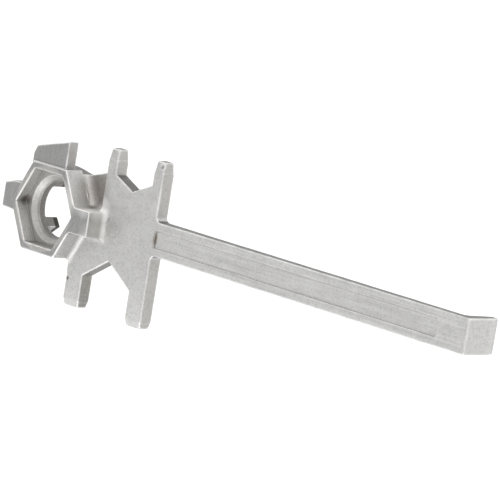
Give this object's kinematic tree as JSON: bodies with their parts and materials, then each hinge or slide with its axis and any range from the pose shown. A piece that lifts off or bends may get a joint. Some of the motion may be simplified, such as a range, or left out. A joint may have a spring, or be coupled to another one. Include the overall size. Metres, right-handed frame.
{
  "type": "drum plug wrench",
  "caption": "Long one-piece cast stainless hand wrench with a hex socket ring, outer and rear drive lugs, two opposed vee jaws and a bent pry tip.",
  "frame": {"origin": "centre of the hex socket's mouth, on the socket's axis", "axes": "+X along the handle towards the bent tip, +Y along the two short prongs, +Z out of the socket's mouth; the wrench lies on its back"},
  "size_m": [0.393, 0.103, 0.0386],
  "materials": {
    "cast_stainless": "satin, fine cast grain"
  },
  "bodies": {
    "root": {"socket_ring": "cast_stainless", "ring_top_lug": "cast_stainless", "ring_side_lug": "cast_stainless", "drive_lug_1": "cast_stainless", "drive_lug_2": "cast_stainless", "drive_lug_3": "cast_stainless", "drive_lug_4": "cast_stainless", "claw_plate": "cast_stainless", "head_web": "cast_stainless", "socket_neck": "cast_stainless", "short_prong_near": "cast_stainless", "short_prong_far": "cast_stainless", "long_prong_near": "cast_stainless", "long_prong_far": "cast_stainless", "handle_bar": "cast_stainless", "pry_tip": "cast_stainless"}
  },
  "joints": []
}
